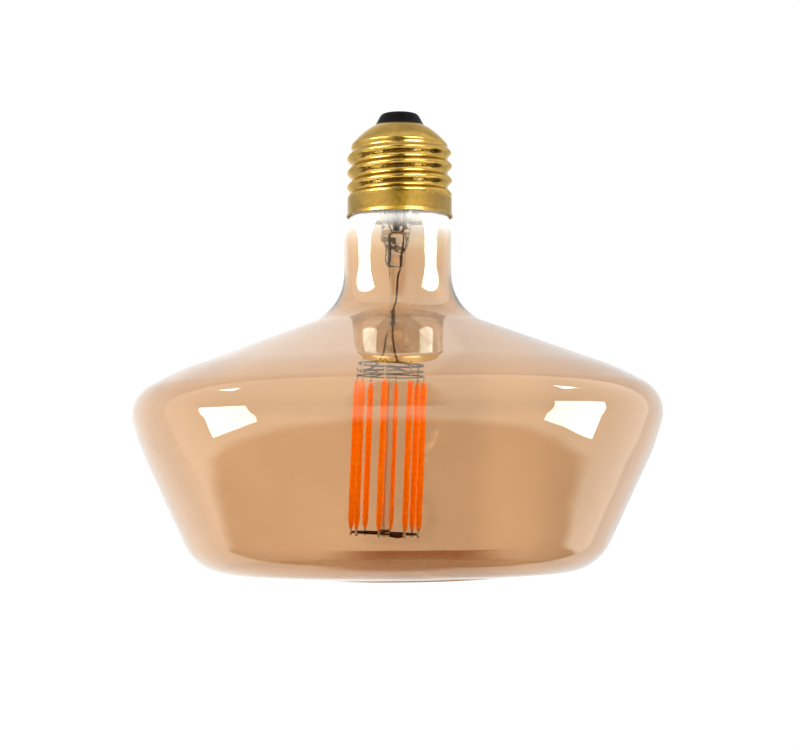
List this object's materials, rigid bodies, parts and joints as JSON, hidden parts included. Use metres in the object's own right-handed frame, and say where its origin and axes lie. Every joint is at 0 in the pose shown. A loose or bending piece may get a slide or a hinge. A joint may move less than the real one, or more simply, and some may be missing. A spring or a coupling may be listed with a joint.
{
  "type": "smart light bulb",
  "caption": "Flat disc filament lamp in amber-coated glass with a long clear neck, a ring of vertical LED filaments and a brass E27 screw cap holding a wireless driver.",
  "frame": {"origin": "centre of the flat on the centre contact, on the lamp's axis; the lamp hangs below it", "axes": "+Z along the lamp's axis, out of the glass towards the centre contact; +X to the right and +Y to the back as the lamp is looked at with its filament_1 nearest the viewer"},
  "size_m": [0.1312, 0.1312, 0.117],
  "materials": {
    "cap_brass": "bright rolled brass, satin on the plain skirt",
    "contact_brass": "stamped brass, satin",
    "black_glass": null,
    "solder": null,
    "cement": "matt basing cement",
    "amber_glass": "blown glass with a gold amber coat that fades to clear near the cap",
    "clear_glass": "clear lead-free glass, fire polished",
    "dark_wire": "nickel iron wire, oxidised brown where it was welded",
    "pin_steel": "bright tinned steel",
    "phosphor": "orange silicone phosphor coat, matt",
    "liner_plastic": "moulded white liner",
    "board_green": "green solder mask on glass fibre",
    "board_dark": "dark solder mask on glass fibre",
    "chip_plastic": "moulded black epoxy",
    "capacitor_sleeve": "shrunk dark blue sleeve",
    "coil_copper": null,
    "resistor_ceramic": "matt lacquered ceramic",
    "film_block": "dipped film capacitor block",
    "wire_insulation_live": "soft wire insulation",
    "wire_insulation_neutral": "soft wire insulation"
  },
  "bodies": {
    "root": {"screw_shell": "cap_brass", "cap_insulator": "black_glass", "centre_contact": "contact_brass", "contact_solder": "solder", "side_solder": "solder", "basing_cement": "cement", "glass_envelope": "amber_glass", "stem_flare": "clear_glass", "exhaust_tube": "clear_glass", "support_rod": "clear_glass", "lead_wire_positive": "dark_wire", "lead_wire_negative": "dark_wire", "lead_clip": "dark_wire", "positive_feed": "dark_wire", "upper_ring_positive": "dark_wire", "upper_ring_negative": "dark_wire", "upper_anchors": "dark_wire", "lower_ring": "dark_wire", "lower_spokes": "dark_wire", "lower_tab": "dark_wire", "upper_pins": "pin_steel", "lower_pins": "pin_steel", "filament_1": "phosphor", "filament_2": "phosphor", "filament_3": "phosphor", "filament_4": "phosphor", "filament_5": "phosphor", "filament_6": "phosphor", "filament_7": "phosphor", "filament_8": "phosphor", "insulating_sleeve": "liner_plastic", "driver_board": "board_green", "bridge_rectifier": "chip_plastic", "driver_chip": "chip_plastic", "electrolytic_capacitor": "capacitor_sleeve", "inductor": "coil_copper", "fuse_resistor": "resistor_ceramic", "film_capacitor": "film_block", "wifi_board": "board_dark", "wifi_shield_can": "pin_steel", "wifi_header": "contact_brass", "wifi_antenna": "coil_copper", "live_wire": "wire_insulation_live", "neutral_wire": "wire_insulation_neutral", "output_wires": "dark_wire"}
  },
  "joints": []
}
